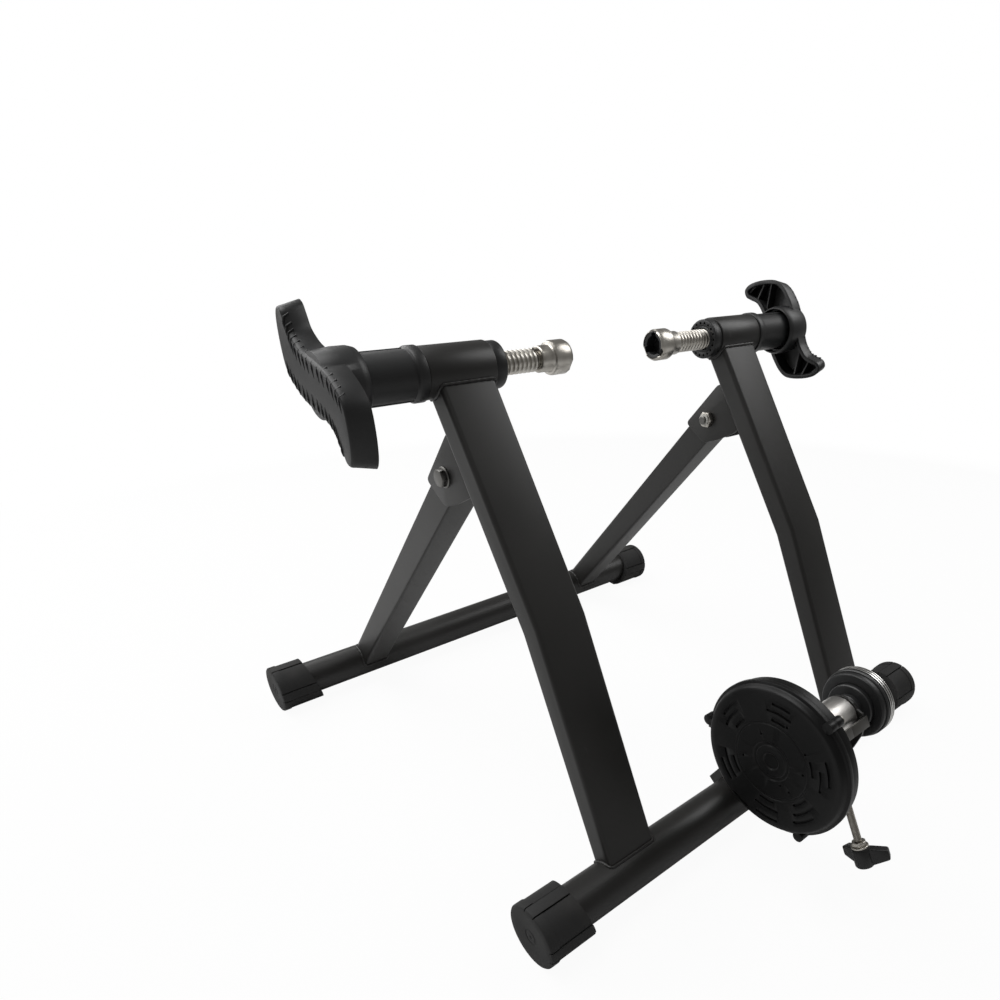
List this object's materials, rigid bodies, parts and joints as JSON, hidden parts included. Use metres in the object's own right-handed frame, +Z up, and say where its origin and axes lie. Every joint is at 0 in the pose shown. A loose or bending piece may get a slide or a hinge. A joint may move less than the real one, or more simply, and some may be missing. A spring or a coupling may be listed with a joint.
{
  "type": "wheel-on turbo trainer",
  "caption": "Folding A-frame bicycle trainer: screw clamps hold the rear axle while the tyre drives a roller with a magnetic brake and a flywheel.",
  "frame": {"origin": "on the floor, under the middle of the part's bounding box", "axes": "+X points to the flywheel side, along the bicycle's rear axle; +Y points from the roller to the rear base tube; +Z is up"},
  "size_m": [0.545, 0.605, 0.419],
  "materials": {
    "black_powder_coat": "satin powder coat",
    "black_plastic": "fine-grained",
    "black_rubber": "matte",
    "zinc_plate": "bright zinc plating",
    "bright_steel": "turned bright",
    "aluminium": "rolled sheet",
    "magnet_plate": "dark, sintered magnets on a keeper plate"
  },
  "bodies": {
    "base_frame": {"front_base_tube": "black_powder_coat", "unit_mount_bracket": "black_powder_coat", "cradle_pivot_bolt": "bright_steel", "cradle_pivot_nut": "bright_steel", "cradle_pivot_sleeve": "zinc_plate", "adjuster_weld_nut": "zinc_plate", "front_foot_cap_left": "black_rubber", "front_foot_cap_right": "black_rubber", "upright_left": "black_powder_coat", "upright_right": "black_powder_coat", "clamp_tube_left": "black_powder_coat", "clamp_tube_right": "black_powder_coat", "thread_bush_left": "black_plastic", "thread_bush_right": "black_plastic", "guide_sleeve_left": "black_plastic", "guide_sleeve_right": "black_plastic", "hinge_bracket_left": "black_powder_coat", "hinge_bracket_right": "black_powder_coat", "hinge_bolt_left": "bright_steel", "hinge_bolt_right": "bright_steel", "hinge_nut_left": "bright_steel", "hinge_nut_right": "bright_steel", "hinge_bush_left": "zinc_plate", "hinge_bush_right": "zinc_plate"},
    "rear_frame": {"rear_base_tube": "black_powder_coat", "rear_leg_left": "black_powder_coat", "rear_leg_right": "black_powder_coat", "rear_foot_cap_left": "black_rubber", "rear_foot_cap_right": "black_rubber"},
    "cradle": {"roller_cradle": "black_powder_coat", "cradle_tie_bar": "zinc_plate", "bearing_left": "bright_steel", "bearing_right": "bright_steel", "brake_housing": "black_plastic", "brake_cover": "black_plastic", "fixed_magnet_plate": "magnet_plate", "casing_screw_1": "bright_steel", "casing_screw_2": "bright_steel", "casing_screw_3": "bright_steel"},
    "magnet_carrier": {"moving_magnet_plate": "magnet_plate"},
    "rotor": {"roller": "bright_steel", "roller_shaft": "bright_steel", "brake_rotor": "aluminium", "flywheel": "bright_steel", "flywheel_face": "black_plastic", "shaft_nut": "bright_steel"},
    "adjuster_pad": {"thrust_pad": "zinc_plate"},
    "adjuster_screw": {"adjusting_screw": "zinc_plate", "adjuster_knob": "black_plastic", "jam_nut": "zinc_plate"},
    "clamp_left_cup": {"axle_cup_left": "zinc_plate"},
    "clamp_left_screw": {"spindle_left": "zinc_plate", "clamp_handle_left": "black_plastic"},
    "clamp_right_cup": {"axle_cup_right": "zinc_plate"},
    "clamp_right_screw": {"spindle_right": "zinc_plate", "clamp_handle_right": "black_plastic"}
  },
  "joints": [
    {"name": "rear_fold", "type": "hinge", "parent": "base_frame", "child": "rear_frame", "pos_m": [0, 0.03377, 0.2952], "axis": [-1, 0, 0], "range_deg": [0, 70]},
    {"name": "clamp_left_feed", "type": "slide", "parent": "base_frame", "child": "clamp_left_cup", "axis": [1, 0, 0], "range_m": [-0.03, 0.02]},
    {"name": "clamp_left_turn", "type": "hinge", "parent": "clamp_left_cup", "child": "clamp_left_screw", "pos_m": [-0.15, 0.03357, 0.3706], "axis": [1, 0, 0], "range_deg": [-2700, 1800]},
    {"name": "clamp_right_feed", "type": "slide", "parent": "base_frame", "child": "clamp_right_cup", "axis": [-1, 0, 0], "range_m": [-0.03, 0.02]},
    {"name": "clamp_right_turn", "type": "hinge", "parent": "clamp_right_cup", "child": "clamp_right_screw", "pos_m": [0.15, 0.03357, 0.3706], "axis": [-1, 0, 0], "range_deg": [-2700, 1800]},
    {"name": "cradle_tilt", "type": "hinge", "parent": "base_frame", "child": "cradle", "pos_m": [-0.02, -0.16616, 0.05849], "axis": [-1, 0, 0], "range_deg": [-4.5, 8]},
    {"name": "magnet_shift", "type": "hinge", "parent": "cradle", "child": "magnet_carrier", "pos_m": [-0.07, -0.22543, 0.1264], "axis": [1, 0, 0], "range_deg": [0, 30]},
    {"name": "roller_spin", "type": "hinge", "parent": "cradle", "child": "rotor", "pos_m": [0, -0.22543, 0.1264], "axis": [1, 0, 0], "continuous": true},
    {"name": "adjuster_lift", "type": "slide", "parent": "base_frame", "child": "adjuster_pad", "axis": [0, 0.4802, 0.8771], "range_m": [-0.00739, 0.01314]},
    {"name": "adjuster_turn", "type": "hinge", "parent": "adjuster_pad", "child": "adjuster_screw", "pos_m": [-0.02, -0.24861, 0.10364], "axis": [0, 0.4802, 0.8771], "range_deg": [-2658, 4725.2]}
  ],
  "couplings": [
    {"joint": "clamp_left_turn", "follows": "clamp_left_feed", "rad_per_m": 1570.8},
    {"joint": "clamp_right_turn", "follows": "clamp_right_feed", "rad_per_m": 1570.8},
    {"joint": "adjuster_turn", "follows": "cradle_tilt", "ratio": 590.62},
    {"joint": "adjuster_lift", "follows": "cradle_tilt", "m_per_rad": 0.094}
  ]
}
